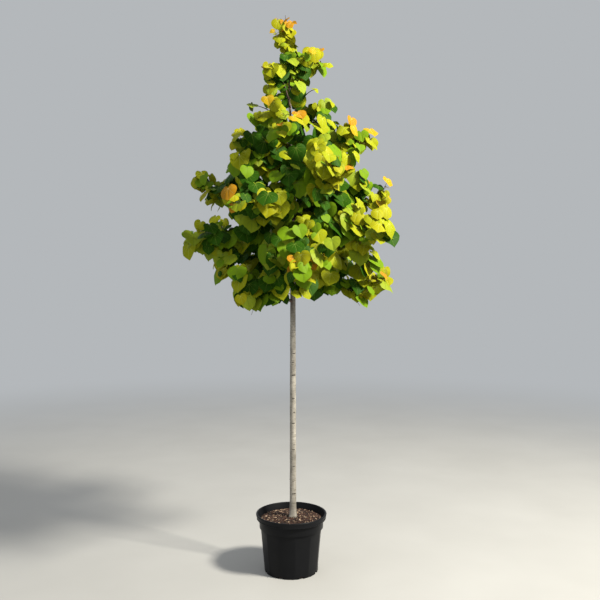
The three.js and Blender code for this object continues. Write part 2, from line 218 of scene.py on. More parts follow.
# The crown's edges, and the openings through it
BOX_MARGIN = 0.001
TRUNK_MARGIN = 0.012
OUTLINE_MARGIN = 0.02
CROWN_TOP = (2.72, 2.92)  # here the whole crown turns into outer foliage
BARE_STEM = (2.42, 2.68)  # here the trunk shows between the leaves in front
BARE_WIDTH = 0.06
GAP_SCALE = 8
GAP_SQUEEZE = 0.3  # makes openings longer from front to back, and the low ones upright too
GAP_START = (2.4, 2.5)
GAP_END = (2.74, 2.84)
GAP_SHARE = 0.475
GAP_CORNER = Vector((9.7, 1.3, 8.1))  # where in the noise the crown's openings lie
LOW_GAP_END = (1.54, 1.68)
LOW_GAP_SHARE = 0.46
LOW_GAP_CORNER = Vector((13.6, 1.3, 8.1))
GAP_TEST = 0.8  # a shoot that is in an opening at this share of its line isn't grown

# Tints are dealt out by spray: some are bright, more of them on the lit side as painted
# light, and the others are duller by chance.
BRIGHT_SEED = 8
BRIGHT_SHARE = 0.27
LIT_SHARE = 0.14
BRIGHT_GOLD = 0.27
DULL_GREEN = 0.34
TOP_GOLD = 0.34
GOLDEN_TOP = (2.82, 2.96)
LIGHT_SIDE = Vector((0.9, -0.43, 0))
# What a leaf's own score of gold is made of: its youth and chance, and painted light,
# brighter further out and on the lit side, darker inside the crown
BASE_GOLD = 0.26
INNER_SHARE = 0.4  # of its spray's gold, for a leaf inside the crown, as painted shade
OUTER_GOLD = 0.3
OUTER_DEPTH = (0.42, 1.02)
LIT_GOLD = 0.06
YOUNG_GOLD = 0.36
LEAF_CHANCE = 0.5
OLD_YOUTH = 0.2
OLD_LEAF_LIMIT = 0.8  # full-grown leaves are yellow at most
# Each tint has the score that it ends at, its colour and its slot.
TINTS = {
    "shade_green": (0.23, (0.021, 0.07, 0.002), "green_foliage"),
    "leaf_green": (0.35, (0.136, 0.238, 0.006), "green_foliage"),
    "fresh_green": (0.43, (0.228, 0.294, 0.011), "green_foliage"),
    "olive_green": (0.53, (0.264, 0.288, 0.006), "gold_foliage"),
    "lime": (0.67, (0.285, 0.308, 0.007), "gold_foliage"),
    "yellow": (0.82, (0.305, 0.298, 0.006), "gold_foliage"),
    "gold": (0.96, (0.39, 0.26, 0.007), "young_foliage"),
    "amber": (9.0, (0.4, 0.19, 0.008), "young_foliage"),
}
VEIN_COLOURS = {
    "green_foliage": (0.14, 0.21, 0.03),
    "gold_foliage": (0.46, 0.5, 0.09),
    "young_foliage": (0.62, 0.45, 0.12),
}
LOW_SHEEN = 0.06
FULL_SHEEN = 0.14
SHINY_TINT = "fresh_green"


# Numbers and directions


def mix(start, end, share):
    return start + (end - start) * share


def clamp(value):
    return min(max(value, 0.0), 1.0)


def smoothstep(value, low, high):
    share = clamp((value - low) / (high - low))
    return share * share * (3 - 2 * share)


class Series:
    """A seeded series of numbers from 0 to 1, the same on every run."""

    MODULUS = 2147483647

    def __init__(self, seed):
        self.state = (seed * 7919 + 104729) % self.MODULUS
        self.next()

    def next(self):
        self.state = (self.state * 48271) % self.MODULUS
        return self.state / self.MODULUS

    def either(self, size):
        return (self.next() * 2 - 1) * size

    def near(self, middle, size):
        return middle + self.either(size)


def heading(degrees):
    turn = math.radians(degrees)
    return Vector((math.cos(turn), math.sin(turn), 0))


def blend(*pairs):
    """The sum of some directions, each with its share, at length 1."""
    total = Vector((0, 0, 0))
    for direction, share in pairs:
        total += direction * share
    return total.normalized()


class Curve:
    """A quadratic curve from a foot past an elbow to a tip."""

    STEPS = 60

    def __init__(self, foot, elbow, tip):
        self.foot, self.elbow, self.tip = foot, elbow, tip

    def point(self, share):
        rest = 1 - share
        return self.foot * rest**2 + self.elbow * (2 * rest * share) + self.tip * share**2

    def way(self, share):
        start = (self.elbow - self.foot) * (1 - share)
        return (start + (self.tip - self.elbow) * share).normalized()

    def length(self):
        points = [self.point(step / self.STEPS) for step in range(self.STEPS + 1)]
        return sum((b - a).length for a, b in zip(points, points[1:]))


# Pieces made of many shapes


class Heap:
    """Corners and triangles that are joined into one piece."""

    def __init__(self):
        self.corners = []
        self.faces = []
        self.count = 0

    def add(self, corners, faces):
        self.corners.append(np.asarray(corners, float))
        self.faces.append(np.asarray(faces, int) + self.count)
        self.count += len(corners)

    def piece(self, name, material):
        corners = np.vstack(self.corners)
        faces = np.vstack(self.faces)
        mesh = bpy.data.meshes.new(name)
        mesh.from_pydata(corners.tolist(), [], faces.tolist())
        mesh.polygons.foreach_set("use_smooth", [True] * len(faces))
        mesh.materials.append(material)
        mesh.update()
        piece = new_object(name, mesh)
        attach(piece, "root")
        return piece


def new_object(name, data):
    thing = bpy.data.objects.new(name, data)
    bpy.context.scene.collection.objects.link(thing)
    return thing


def ring_turns(sides):
    return [side / sides * math.tau for side in range(sides)]


def ring_faces(rings, sides):
    """The triangles that join rings of corners, one ring after another."""
    faces = []
    for ring in range(rings - 1):
        for side in range(sides):
            here = ring * sides + side
            beside = ring * sides + (side + 1) % sides
            faces.append((here, beside, beside + sides))
            faces.append((here, beside + sides, here + sides))
    return faces


LIMB_SEAM = (0.31, 0.17, 0.93)  # no limb runs this way


def add_limb(heap, points, radii, sides, relief=None):
    """Adds a closed round limb along some points. Relief gives what to add to the radius."""
    points = np.array([tuple(point) for point in points])
    ways = np.gradient(points, axis=0)
    ways /= np.linalg.norm(ways, axis=1)[:, None]
    across = np.array(LIMB_SEAM)
    turns = np.arange(sides) / sides * math.tau
    corners = []
    for point, way, radius in zip(points, ways, radii):
        across = across - way * (across @ way)
        across /= np.linalg.norm(across)
        beside = np.cross(way, across)
        reach = np.full(sides, radius)
        if relief:
            reach = reach + relief(turns, point, radius)
        round_way = np.outer(np.cos(turns), across) + np.outer(np.sin(turns), beside)
        corners.append(point + round_way * reach[:, None])
    faces = ring_faces(len(points), sides)
    last = (len(points) - 1) * sides
    first_end = len(points) * sides
    for side in range(sides):
        beside = (side + 1) % sides
        faces.append((first_end, beside, side))
        faces.append((first_end + 1, last + side, last + beside))
    tip = points[-1] + ways[-1] * radii[-1] * 0.6
    heap.add(np.vstack(corners + [points[:1], tip[None]]), faces)


# Growth by the source's rule


def trunk_centre(height):
    drift = STEM_DRIFT * smoothstep(height, LOWEST_TIP, LEADER_BEND_FROM)
    bend_share = clamp((height - LEADER_BEND_FROM) / (LEADER_TIP - LEADER_BEND_FROM))
    climb = (height - SOIL_HEIGHT) / (LEADER_TIP - SOIL_HEIGHT)
    sway = STEM_SWAY * math.sin(climb * math.tau)
    return Vector((STEM_OFFSET - drift - LEADER_BEND * bend_share**2, sway, height))


def trunk_radius(height):
    climb = clamp((height - SOIL_HEIGHT) / (LEADER_TIP - SOIL_HEIGHT))
    flare = (FLARE_RADIUS - STEM_RADIUS) * math.exp((SOIL_HEIGHT - height) / FLARE_HEIGHT)
    return mix(STEM_RADIUS, LEADER_RADIUS, climb**TAPER_POWER) + flare


def crown_reach(height):
    """How far a bough's tip may be from the trunk at a height."""
    if height < WIDEST_HEIGHT:
        drop = (WIDEST_HEIGHT - height) / UNDERSIDE_DEPTH
        return WIDEST_REACH * math.sqrt(max(1 - drop**2, 0))
    return mix(WIDEST_REACH, SPIRE_REACH, smoothstep(height, SHOULDER_HEIGHT, SPIRE_HEIGHT))


def bough_line(index):
    series = Series(index + 1)
    share = index / (BOUGH_COUNT - 1)
    tip_height = mix(LOWEST_TIP, HIGHEST_TIP, share)
    rise = mix(LOWEST_RISE, HIGHEST_RISE, share)
    azimuth = FIRST_AZIMUTH + index * GOLDEN_ANGLE + series.either(AZIMUTH_WANDER)
    outward = heading(azimuth)
    full_reach = crown_reach(tip_height) * REACH_SHARES.get(index + 1, 1)
    reach = full_reach * (MEAN_REACH + series.either(TIP_WANDER)) - LEAF_REACH
    foot = trunk_centre(tip_height - rise)
    elbow = foot + outward * (reach * BOUGH_BEND) + UP * rise
    return Curve(foot, elbow, trunk_centre(tip_height) + outward * reach)


def leader_line():
    foot = trunk_centre(LEADER_TIP)
    way = (trunk_centre(LEADER_TIP + 0.001) - foot).normalized()
    elbow = foot + way * (LEADER_SHOOT * 0.6)
    return Curve(foot, elbow, elbow + UP * (LEADER_SHOOT * 0.4))


def vigour_at(height):
    return mix(1, TOP_VIGOUR, clamp((height - LOWEST_TIP) / (LEADER_TIP - LOWEST_TIP)))


class Shoot:
    """What bears leaves: its line, where on it they start, its seed, size and growth."""

    def __init__(self, line, start, seed, vigour, radius, growth=1.0):
        self.line, self.start, self.seed = line, start, seed
        self.vigour, self.radius, self.growth = vigour, radius, growth


def side_line(parent, share, around, turn, reach):
    """A side shoot's line: it leaves its stem at an angle and sweeps forward a little."""
    foot = parent.line.point(share)
    ahead = parent.line.way(share)
    beside = ahead.cross(UP).normalized()
    above = beside.cross(ahead)
    aside = blend((beside, math.cos(around)), (above, math.sin(around)))
    way = blend((ahead, math.cos(turn)), (aside, math.sin(turn)), (UP, TWIG_LIFT))
    elbow = foot + way * (reach * 0.5)
    return Curve(foot, elbow, foot + way * (reach * 0.9) + ahead * (reach * 0.2))


def side_shoots(stem):
    """The twigs of a stem, wound round it, shorter towards its tip."""
    series = Series(stem.seed // SEED_STEP)
    length = stem.line.length() * (1 - stem.start)
    count = max(round(length / (TWIG_SPACING * stem.vigour)), 2)
    shoots = []
    for index in range(count):
        share = mix(stem.start, 1, (index + FIRST_TWIG) / count)
        around = math.radians(index * GOLDEN_ANGLE + series.either(TWIG_AROUND_WANDER))
        size = mix(1, TIP_SIZE, index / count) * (1 + series.either(TWIG_WANDER))
        reach = LONGEST_TWIG * stem.vigour * size
        line = side_line(stem, share, around, TWIG_TURN, reach)
        seed = stem.seed + index + 1
        shoots.append(Shoot(line, TWIG_START, seed, stem.vigour, TWIG_RADIUS))
    return shoots


def spurs(twig):
    """The spurs of a twig, on alternate sides, which fill its mass."""
    series = Series(twig.seed * 7)
    found = []
    count = next(count for limit, count in SPUR_COUNTS if twig.line.foot.z < limit)
    for index in range(count):
        share = (index + 0.6 + series.either(0.12)) / (count + 0.2)
        around = math.radians(90 + index * 180 + series.either(SPUR_AROUND_WANDER))
        reach = twig.line.length() * SPUR_SHARE * (1 + series.either(SPUR_WANDER))
        line = side_line(twig, share, around, SPUR_TURN, reach)
        seed = twig.seed * 7 + index + 1
        radius = TWIG_RADIUS * SPUR_RADIUS_SHARE
        found.append(Shoot(line, SPUR_START, seed, twig.vigour, radius, SPUR_GROWTH))
    return found


def all_shoots():
    """Every shoot that bears leaves: the boughs' own lines, the twigs, and the spurs."""
    stems = []
    for index in range(BOUGH_COUNT):
        line = bough_line(index)
        seed = (MASS_SEED + index) * SEED_STEP
        vigour = vigour_at(line.point(1).z)
        radius = mix(THICKEST_BOUGH, THINNEST_BOUGH, index / (BOUGH_COUNT - 1))
        stems.append(Shoot(line, STEM_START, seed, vigour, radius))
    seed = LEADER_SEED * SEED_STEP
    stems.append(Shoot(leader_line(), 0, seed, LEADER_VIGOUR, LEADER_RADIUS))
    twigs = [twig for stem in stems for twig in side_shoots(stem) if is_leafy(twig)]
    finest = [spur for twig in twigs for spur in spurs(twig) if is_leafy(spur)]
    return stems, twigs, finest + trunk_spurs()


def is_leafy(shoot):
    """Whether a shoot ends inside the crown and clear of the openings."""
    tip = shoot.line.point(1)
    return CROWN_FOOT < tip.z < cad_box[1][2] and not is_in_gap(shoot.line.point(GAP_TEST))


def trunk_spurs():
    """Short leafy spurs on the trunk itself, inside the crown."""
    series = Series(TRUNK_SPUR_SEED)
    found = []
    height = LOWEST_TIP - TRUNK_SPUR_SPACING
    while height < TRUNK_SPUR_LIMIT:
        outward = heading(series.next() * 360)
        foot = trunk_centre(height)
        reach = TRUNK_SPUR_LENGTH * (1 + series.either(LENGTH_WANDER))
        elbow = foot + blend((outward, 1), (UP, 0.2)) * reach * 0.6
        line = Curve(foot, elbow, elbow + blend((outward, 0.6), (UP, 0.6)) * reach * 0.5)
        seed = FIRST_TRUNK_SPUR + len(found)
        found.append(Shoot(line, TRUNK_SPUR_START, seed, vigour_at(height), TWIG_RADIUS, 0.0))
        height += TRUNK_SPUR_SPACING * (1 + series.either(SPACING_WANDER))
    return found


# Leaves


def blade_reach(turn):
    """How far a heart's edge is from its stalk, a turn away from its drawn-out tip."""
    return 0.84 * max(math.cos(turn / 2), 0) ** 0.88 + 0.16 * math.exp(-turn / 0.18)


def vein_template():
    """Thin strips along a blade's veins, a little above it, in the same form as the blade."""
    corners = []
    faces = []
    for step in range(-SIDE_VEINS, SIDE_VEINS + 1):
        turn = math.radians(VEIN_STEP * step)
        start = VEIN_STRENGTH * (1 if step == 0 else SIDE_VEIN_SHARE)
        for share in VEIN_SHARES:
            reach = blade_reach(abs(turn)) * share
            wide = start * (1 - share * VEIN_TAPER)
            for side in (-1, 1):
                across = math.sin(turn) * reach + side * wide * math.cos(turn)
                along = math.cos(turn) * reach - side * wide * math.sin(turn)
                corners.append((across, along, VEIN_LIFT / VEIN_RELIEF, share))
        first = (step + SIDE_VEINS) * len(VEIN_SHARES) * 2
        for part in range(len(VEIN_SHARES) - 1):
            here = first + part * 2
            faces.append((here, here + 2, here + 3))
            faces.append((here, here + 3, here + 1))
    return np.array(corners), np.array(faces)


def blade_template():
    """A flat heart: across, along, vein relief and ring for each corner, and its faces."""
    half = [math.radians(VEIN_STEP / 2 * step) for step in range(1, HALF_RAYS + 1)]
    turns = [-turn for turn in reversed([TIP_RAY] + half)] + [0.0, TIP_RAY] + half
    corners = [(0.0, 0.0, 0.0, 0.0)]
    for turn in turns:
        between = math.sin(math.pi * turn / math.radians(VEIN_STEP)) ** 2
        for share in BLADE_RINGS:
            reach = blade_reach(abs(turn)) * share
            bulge = between * math.sin(math.pi * share**1.3) + 0.35 * between * share
            corners.append((math.sin(turn) * reach, math.cos(turn) * reach, bulge, share))
    faces = []
    rings = len(BLADE_RINGS)
    for ray in range(len(turns) - 1):
        here, beside = 1 + ray * rings, 1 + (ray + 1) * rings
        faces.append((0, beside, here))
        for ring in range(rings - 1):
            faces.append((here + ring, beside + ring, beside + ring + 1))
            faces.append((here + ring, beside + ring + 1, here + ring + 1))
    return np.array(corners), np.array(faces)


BLADE, BLADE_FACES = blade_template()
VEINS, VEIN_FACES = vein_template()


class Leaf:
    """One leaf: where its stalk leaves the shoot, how it hangs, its size and its youth."""

    def __init__(self, shoot, share, youth, side, series):
        self.root = shoot.line.point(share)
        ahead = shoot.line.way(share)
        beside = ahead.cross(UP).normalized()
        outward = (self.root - trunk_centre(self.root.z)).normalized()
        pull = FRONT_PULL * smoothstep(outward.dot(FRONT), *PULL_RANGE)
        facing = blend((outward, 1), (SUNNY_FRONT, pull))
        facing = Quaternion(UP, series.either(FACING_WANDER)) @ facing
        grown = mix(1, YOUNG_BLADE, youth) * (1 - series.next() ** SIZE_SKEW * SIZE_WANDER)
        self.size = LONGEST_BLADE * shoot.vigour**SIZE_POWER * grown
        rise = series.near(*PETIOLE_RISE)
        stalk = blend((beside, side * PETIOLE_ASIDE), (ahead, PETIOLE_AHEAD), (UP, rise))
        self.stalk_end = self.root + stalk * (self.size * PETIOLE_SHARE)
        out = series.near(*HANG_OUT)
        lift = -HANG_DOWN + youth * YOUNG_LIFT
        hang = blend((facing, out), (UP, lift), (beside, side * HANG_ASIDE))
        face = blend((facing, 1), (UP, series.near(*FACE_UP)))
        face = (face - hang * face.dot(hang)).normalized()
        self.outward, self.hang, self.face = outward, hang, face
        self.across = hang.cross(face)
        self.youth = youth
        self.is_last = share > LAST_LEAF
        self.fold = series.near(mix(OLD_FOLD, YOUNG_FOLD, youth**2), FOLD_WANDER)
        self.droop = series.near(*DROOP)
        self.curl = series.near(*CURL)
        self.wave = WAVE[0] + series.next() * WAVE[1]
        self.phase = series.next() * math.tau
        self.chance = series.next()

    def shaped(self, template):
        """The places of a template's corners on this leaf."""
        across, along, bulge, ring = template.T
        width = 1.01 - 0.1 * self.youth
        waves = np.sin(5 * np.arctan2(across, along) + self.phase)
        height = self.fold * np.abs(across) + self.droop * across**2 * 2
        height = height + self.curl * along**2 + VEIN_RELIEF * bulge
        height = height + self.wave * ring**3 * waves
        places = np.outer(across * width, self.across) + np.outer(along, self.hang)
        return np.array(self.stalk_end) + (places + np.outer(height, self.face)) * self.size

    def stalk_points(self):
        elbow = self.root.lerp(self.stalk_end, 0.55) + UP * (self.size * 0.05)
        curve = Curve(self.root, elbow, self.stalk_end)
        return [curve.point(step / 3) for step in range(4)]


def leaves_of(shoot):
    series = Series(shoot.seed)
    length = shoot.line.length() * (1 - shoot.start)
    count = max(round(length / (LEAF_SPACING * mix(LEAST_SPACING, 1, shoot.vigour))), 2)
    fresh = shoot.growth * smoothstep(depth_at(shoot.line.point(1)), *YOUNG_DEPTH)
    leaves = []
    for index in range(count):
        along = (index + 1) / count
        share = mix(shoot.start, 1, along) - LEAF_SETBACK
        youth = fresh * clamp((along - YOUNG_FROM) / (1 - YOUNG_FROM))
        leaves.append(Leaf(shoot, share, youth, 1 if index % 2 else -1, series))
    return leaves


def is_in_crown(corners):
    """Whether a leaf is in the crown's box, clear of the trunk and of its bare part."""
    low = np.array(cad_box[0]) + BOX_MARGIN
    low[2] = CROWN_FOOT
    if (corners < low).any() or (corners > np.array(cad_box[1]) - BOX_MARGIN).any():
        return False
    middle = corners.mean(axis=0)
    centre = trunk_centre(middle[2])
    in_front = middle[1] < centre.y and abs(middle[0] - centre.x) < BARE_WIDTH / 2
    if in_front and BARE_STEM[0] < middle[2] < BARE_STEM[1]:
        return False
    apart = math.hypot(middle[0] - centre.x, middle[1] - centre.y)
    return middle[2] > LEADER_TIP or apart > trunk_radius(middle[2]) + TRUNK_MARGIN


def is_in_gap(place):
    """Whether a place is in an opening through the crown's spire or its lowest part."""
    x, y, z = place
    if z < WIDEST_HEIGHT:
        share = LOW_GAP_SHARE * (1 - smoothstep(z, *LOW_GAP_END))
        corner, height = LOW_GAP_CORNER, z * GAP_SQUEEZE
    else:
        share = GAP_SHARE * smoothstep(z, *GAP_START) * (1 - smoothstep(z, *GAP_END))
        corner, height = GAP_CORNER, z
    start = corner + Vector((x, y * GAP_SQUEEZE, height)) * GAP_SCALE
    return noise.noise(start) * 0.5 + 0.5 < share


def depth_at(place):
    """How far out a place is: 0 at the trunk, 1 at the crown's outline and at its top."""
    apart = place - trunk_centre(place.z)
    across = clamp(apart.length / (crown_reach(place.z) + OUTLINE_MARGIN))
    return max(across, smoothstep(place.z, *CROWN_TOP))


def spray_gold(shoot):
    """A spray's own gold: by chance, more often on the lit side as painted light, and more at
    the top.
    """
    tip = shoot.line.point(1)
    aside = tip - trunk_centre(tip.z)
    share = BRIGHT_SHARE + LIT_SHARE * aside.dot(LIGHT_SIDE) / WIDEST_REACH
    series = Series(shoot.seed * 3 + BRIGHT_SEED)
    bright = series.next() < share
    own = BRIGHT_GOLD if bright else -DULL_GREEN * series.next()
    return own + TOP_GOLD * smoothstep(tip.z, *GOLDEN_TOP)


def tint_of(leaf, gold):
    """A leaf's tint: more golden towards a shoot's tip, and as painted light more golden
    further out and nearer the light.
    """
    outer = smoothstep(depth_at(leaf.stalk_end), *OUTER_DEPTH)
    # Painted light: the lit side and the outside of the crown get brighter tints, the inside
    # darker ones.
    light = leaf.outward.dot(LIGHT_SIDE) * outer
    score = gold * mix(INNER_SHARE, 1, outer) + OUTER_GOLD * outer + LIT_GOLD * light
    score += YOUNG_GOLD * leaf.youth
    score += LEAF_CHANCE * (leaf.chance - 0.5) + BASE_GOLD
    if leaf.youth < OLD_YOUTH and leaf.root.z < GOLDEN_TOP[1]:
        score = min(score, OLD_LEAF_LIMIT)
    return next(name for name, (limit, _, _) in TINTS.items() if score < limit)


# Materials


def new_material(name, values):
    """A material, its nodes and its shader, with some of the shader's values set."""
    material = bpy.data.materials.new(name)
    material.use_nodes = True
    shader = material.node_tree.nodes["Principled BSDF"]
    for key, value in values.items():
        shader.inputs[key].default_value = value
    return material, material.node_tree, shader


def place_in(tree):
    """A place in the object's own coordinates."""
    return tree.nodes.new("ShaderNodeTexCoord").outputs["Object"]


def noise_at(tree, scale, detail=4, stretch=(1, 1, 1)):
    """A noise over the object's own coordinates, stretched along its axes."""
    mapping = tree.nodes.new("ShaderNodeMapping")
    mapping.inputs["Scale"].default_value = stretch
    texture = tree.nodes.new("ShaderNodeTexNoise")
    texture.inputs["Scale"].default_value = scale
    texture.inputs["Detail"].default_value = detail
    tree.links.new(place_in(tree), mapping.inputs["Vector"])
    tree.links.new(mapping.outputs["Vector"], texture.inputs["Vector"])
    return texture.outputs["Fac"]


def ramp(tree, value, stops):
    """A colour ramp from (place, colour) stops."""
    node = tree.nodes.new("ShaderNodeValToRGB")
    elements = node.color_ramp.elements
    while len(elements) < len(stops):
        elements.new(0.5)
    for element, (place, colour) in zip(elements, stops):
        element.position = place
        element.color = (*colour, 1)
    tree.links.new(value, node.inputs["Fac"])
    return node.outputs["Color"]


def range_of(tree, value, low, high, source=(0, 1), kind="LINEAR"):
    """A value brought from the source's range to the one from low to high."""
    node = tree.nodes.new("ShaderNodeMapRange")
    node.interpolation_type = kind
    names = ("From Min", "From Max", "To Min", "To Max")
    for name, end in zip(names, (*source, low, high)):
        node.inputs[name].default_value = end
    tree.links.new(value, node.inputs["Value"])
    return node.outputs["Result"]


def add_bump(tree, shader, height, strength, distance):
    bump = tree.nodes.new("ShaderNodeBump")
    bump.inputs["Strength"].default_value = strength
    bump.inputs["Distance"].default_value = distance
    tree.links.new(height, bump.inputs["Height"])
    tree.links.new(bump.outputs["Normal"], shader.inputs["Normal"])


def mixed(tree, share, first, second, kind="MIX"):
    node = tree.nodes.new("ShaderNodeMix")
    node.data_type = "RGBA"
    node.blend_type = kind
    if isinstance(share, (int, float)):
        node.inputs[0].default_value = share
    else:
        tree.links.new(share, node.inputs[0])
    tree.links.new(first, node.inputs[6])
    tree.links.new(second, node.inputs[7])
    return node.outputs[2]


def leaf_material(name, colour, sheen=LOW_SHEEN):
    values = {"Base Color": (*colour, 1), "Roughness": 0.55, "Specular IOR Level": sheen}
    material, tree, shader = new_material(name, values)
    add_bump(tree, shader, noise_at(tree, 700, 2), 0.12, 0.0004)
    return material


def stalk_material():
    values = {"Base Color": (0.16, 0.07, 0.025, 1), "Roughness": 0.5}
    material, tree, shader = new_material("stalk", values)
    add_bump(tree, shader, noise_at(tree, 900, 2), 0.1, 0.0003)
    return material


def grained_material(name, roughness, grain, stops, bump=None):
    """A material whose colour, and bumps if it has any, follow its grain."""
    material, tree, shader = new_material(name, {"Roughness": roughness})
    fibres = noise_at(tree, *grain)
    tree.links.new(ramp(tree, fibres, stops), shader.inputs["Base Color"])
    if bump:
        add_bump(tree, shader, fibres, *bump)
    return material


def twig_material():
    stops = ((0.3, (0.035, 0.02, 0.014)), (0.7, (0.12, 0.07, 0.045)))
    return grained_material("twig_bark", 0.68, (160, 4), stops, (0.35, 0.0006))


def scar_material():
    stops = ((0.3, (0.02, 0.015, 0.012)), (0.7, (0.06, 0.045, 0.035)))
    return grained_material("scar", 0.8, (300, 3), stops)


def mulch_material(name, dark, pale):
    stops = ((0.32, dark), (0.68, pale))
    return grained_material(name, 0.86, (120, 5, (1, 1, 3)), stops, (0.6, 0.0015))


def bark_material():
    """Smooth grey bark with fine level rings, painted a darker brown inside the crown as the
    crown's shade.
    """
    material, tree, shader = new_material("trunk_bark", {})
    blotches = noise_at(tree, 26, 5, (1, 1, 0.45))
    rings = noise_at(tree, 30, 6, (1, 1, 14))
    grey = ramp(tree, blotches, ((0.3, (0.2, 0.18, 0.148)), (0.68, (0.45, 0.415, 0.355))))
    streaks = ramp(tree, rings, ((0.34, (0.25, 0.22, 0.18)), (0.44, (1, 1, 1))))
    bark = mixed(tree, 0.75, grey, streaks, "MULTIPLY")
    # Painted shade of the crown: a darker brown for the bark inside it.
    painted_crown_shade = ramp(tree, blotches, ((0.3, (0.06, 0.042, 0.03)), (0.7, (0.16, 0.12, 0.085))))
    place = tree.nodes.new("ShaderNodeSeparateXYZ")
    tree.links.new(place_in(tree), place.inputs[0])
    climb = range_of(tree, place.outputs["Z"], 0, 1, CROWN_SHADE_HEIGHTS)
    tree.links.new(mixed(tree, climb, bark, painted_crown_shade), shader.inputs["Base Color"])
    tree.links.new(range_of(tree, blotches, 0.62, 0.85), shader.inputs["Roughness"])
    add_bump(tree, shader, rings, 0.45, 0.0008)
    return material


def pot_material():
    """Black recycled plastic with a faint grain, duller in patches."""
    material, tree, shader = new_material("pot_plastic", {"Specular IOR Level": 0.1})
    grain = noise_at(tree, 220, 3)
    clouds = noise_at(tree, 7, 4)
    stops = ((0.3, (0.0062, 0.0066, 0.0078)), (0.75, (0.0092, 0.0096, 0.011)))
    black = ramp(tree, clouds, stops)
    tree.links.new(black, shader.inputs["Base Color"])
    tree.links.new(range_of(tree, clouds, 0.34, 0.46), shader.inputs["Roughness"])
    add_bump(tree, shader, grain, 0.12, 0.0004)
    return material


def floor_material():
    values = {"Roughness": 1, "Specular IOR Level": 0, "Emission Color": (*SKY_COLOUR, 1)}
    material, tree, shader = new_material("floor", values)
    clouds = noise_at(tree, 1.5, 3)
    pale = ramp(tree, clouds, ((0.3, (0.44, 0.435, 0.42)), (0.7, (0.47, 0.465, 0.45))))
    apart = tree.nodes.new("ShaderNodeVectorMath")
    apart.operation = "LENGTH"
    tree.links.new(place_in(tree), apart.inputs[0])
    fade = range_of(tree, apart.outputs["Value"], 0, 1, FLOOR_FADE, "SMOOTHSTEP")
    black = tree.nodes.new("ShaderNodeRGB")
    black.outputs[0].default_value = (0, 0, 0, 1)
    ground = mixed(tree, fade, pale, black.outputs[0])
    tree.links.new(ground, shader.inputs["Base Color"])
    tree.links.new(range_of(tree, fade, 0, SKY_STRENGTH), shader.inputs["Emission Strength"])
    return material


# The trunk, the boughs and the crown


TRUNK_SIDES = 36
TRUNK_STEP = 0.0055
CROWN_SHADE_HEIGHTS = (1.3, 1.7)  # the trunk's bark is painted a darker brown between these, as the crown's shade
WRINKLE_DEPTH = 0.00035
FLUTE_DEPTH = 0.0007
LOBE_DEPTH = 0.0022
LOBE_COUNT = 4
LOBE_HEIGHT = 0.035
BOUGH_SIDES = 10
BOUGH_STEP = 0.012
COLLAR_SWELL = 0.35
COLLAR_LENGTH = 0.03
TWIG_SIDES = 6
TWIG_STEP = 0.018
KNOT_SHARE = 0.14  # of a twig's radius
SCAR_SEED = 31
SCAR_SPACING = 0.09
SCAR_SIZE = (0.0088, 0.0027, 0.0024)  # half its width, half its height and its relief
SCAR_DEPTH = 0.0012
SCAR_FRONT = (288, 278, 294, 282)  # in degrees, of the scars in front in turn
# Each scar in front has a height and a size.
SCARS = (
    (0.428, 1.25), (0.498, 0.8), (0.580, 1.0), (0.672, 0.9), (0.699, 0.7), (0.818, 1.0),
    (0.878, 0.75), (0.954, 0.9), (1.084, 1.25), (1.154, 0.8), (1.203, 1.0),
)


def bark_relief(turns, point, radius):
    """Level wrinkles, shallow flutes, and lobes where the roots begin."""
    height = float(point[2])
    foot = math.exp((SOIL_HEIGHT - height) / LOBE_HEIGHT)
    extra = np.zeros(len(turns))
    for side, turn in enumerate(turns):
        place = Vector((math.cos(turn) * 0.9, math.sin(turn) * 0.9, height * 95))
        wrinkle = noise.noise(place) * WRINKLE_DEPTH
        place = Vector((math.cos(turn), math.sin(turn), height * 11))
        flute = noise.noise(place) * FLUTE_DEPTH
        lobe = math.sin(turn * LOBE_COUNT + 0.8) * LOBE_DEPTH * foot
        extra[side] = (wrinkle + flute) * min(radius / STEM_RADIUS + 0.2, 1) + lobe
    return extra


def make_trunk():
    heap = Heap()
    count = round((LEADER_TIP - SOIL_HEIGHT) / TRUNK_STEP)
    heights = [mix(SOIL_HEIGHT, LEADER_TIP, step / count) for step in range(count + 1)]
    points = [trunk_centre(height) for height in heights]
    radii = [trunk_radius(height) for height in heights]
    add_limb(heap, points, radii, TRUNK_SIDES, bark_relief)
    trunk = heap.piece("trunk_bark_relief", bark_material())
    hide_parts("trunk")


def button(middle, out, size):
    """A small flattened dome: corners and faces. Size is across, up and out."""
    across = out.cross(UP).normalized()
    rows, sides = 4, 10
    corners = []
    for row in range(rows):
        tilt = row / (rows - 1) * math.pi / 2
        for turn in ring_turns(sides):
            level = across * (math.cos(turn) * math.cos(tilt) * size[0])
            level = level + UP * (math.sin(turn) * math.cos(tilt) * size[1])
            corners.append(tuple(middle + level + out * (math.sin(tilt) * size[2])))
    return corners, ring_faces(rows, sides)


def add_scar(heap, height, out, size):
    middle = trunk_centre(height) + out * (trunk_radius(height) - SCAR_DEPTH)
    wide, tall, relief = SCAR_SIZE
    heap.add(*button(middle, out, (wide * size, tall * size, relief)))


def make_scars():
    """Dark scars of shed shoots up the clear stem: those in front, and some behind."""
    heap = Heap()
    series = Series(SCAR_SEED)
    for index, (height, size) in enumerate(SCARS):
        out = heading(SCAR_FRONT[index % len(SCAR_FRONT)] + series.either(6))
        add_scar(heap, height, out, size)
    height = SOIL_HEIGHT + 0.11
    while height < LOWEST_TIP - 0.12:
        add_scar(heap, height, heading(60 + series.next() * 130), 0.6 + series.next() * 0.5)
        height += SCAR_SPACING * (1 + series.either(0.45))
    scars = heap.piece("stem_scars", scar_material())


